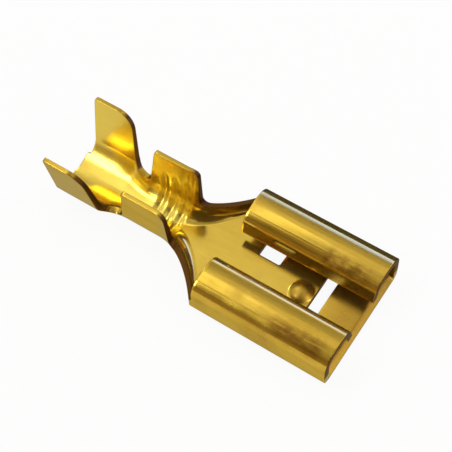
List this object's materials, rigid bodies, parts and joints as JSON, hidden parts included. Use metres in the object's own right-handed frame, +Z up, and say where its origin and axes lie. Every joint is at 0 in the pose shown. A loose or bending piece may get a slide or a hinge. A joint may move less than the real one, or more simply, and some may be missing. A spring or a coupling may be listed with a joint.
{
  "type": "female spade terminal",
  "caption": "Open brass crimp terminal: flat receptacle with rolled-over sides for a flat tab, waisted neck, open wire barrel and taller open insulation barrel.",
  "frame": {"origin": "middle of the length and the width, on the underside of the receptacle floor", "axes": "+X along the terminal, out of the mouth where the tab goes in; +Z up from the receptacle floor towards the rolls and the wing tips; the terminal is the same on both sides of Y = 0"},
  "size_m": [0.0184, 0.0074, 0.0046],
  "materials": {
    "brass": "bright rolled brass"
  },
  "bodies": {
    "root": {"terminal": "brass"}
  },
  "joints": []
}
